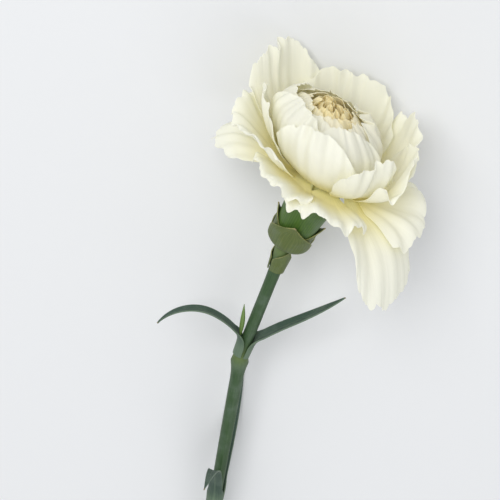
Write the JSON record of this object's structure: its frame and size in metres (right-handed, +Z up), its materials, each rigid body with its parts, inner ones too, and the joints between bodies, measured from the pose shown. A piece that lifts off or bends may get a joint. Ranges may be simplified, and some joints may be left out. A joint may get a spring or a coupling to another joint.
{
  "type": "cut carnation",
  "caption": "Double cream-white carnation on a short cut stem with leaves, lying on its lowest petals, its leaves and its cut end.",
  "frame": {"origin": "middle of the flower's footprint, on the surface that it lies on", "axes": "+Y along the stem from the cut end towards the flower head, +Z up from the surface, +X to the right seen from above with the head at the top"},
  "size_m": [0.1108, 0.3316, 0.068],
  "materials": {
    "petal_cream": "matt, soft and slightly translucent petal",
    "petal_heart": "matt, soft and slightly translucent petal, warmer towards the heart",
    "calyx_green": "satin green with fine lengthwise veins",
    "bract_olive": "satin olive green with pale edges",
    "stem_green": "smooth green under a thin grey bloom",
    "leaf_green": "blue-green under a grey waxy bloom"
  },
  "bodies": {
    "root": {"petal_01": "petal_heart", "petal_02": "petal_heart", "petal_03": "petal_heart", "petal_04": "petal_heart", "petal_05": "petal_heart", "petal_06": "petal_heart", "petal_07": "petal_heart", "petal_08": "petal_heart", "petal_09": "petal_heart", "petal_10": "petal_heart", "petal_11": "petal_heart", "petal_12": "petal_heart", "petal_13": "petal_heart", "petal_14": "petal_heart", "petal_15": "petal_heart", "petal_16": "petal_heart", "petal_17": "petal_heart", "petal_18": "petal_heart", "petal_19": "petal_heart", "petal_20": "petal_cream", "petal_21": "petal_cream", "petal_22": "petal_cream", "petal_23": "petal_cream", "petal_24": "petal_cream", "petal_25": "petal_cream", "petal_26": "petal_cream", "petal_27": "petal_cream", "petal_28": "petal_cream", "petal_29": "petal_cream", "petal_30": "petal_cream", "petal_31": "petal_cream", "petal_32": "petal_cream", "petal_33": "petal_cream", "petal_34": "petal_cream", "petal_35": "petal_cream", "petal_36": "petal_cream", "petal_37": "petal_cream", "petal_38": "petal_cream", "petal_39": "petal_cream", "petal_40": "petal_cream", "petal_41": "petal_cream", "petal_42": "petal_cream", "calyx": "calyx_green", "ovary": "calyx_green", "epicalyx_bract_1": "bract_olive", "epicalyx_bract_2": "bract_olive", "epicalyx_bract_3": "bract_olive", "epicalyx_bract_4": "bract_olive", "lower_bract_1": "bract_olive", "lower_bract_2": "bract_olive", "stem": "stem_green", "leaf_1a": "leaf_green", "leaf_1b": "leaf_green", "leaf_2a": "leaf_green", "leaf_2b": "leaf_green", "leaf_3a": "leaf_green", "leaf_3b": "leaf_green", "axillary_shoot": "calyx_green"}
  },
  "joints": []
}
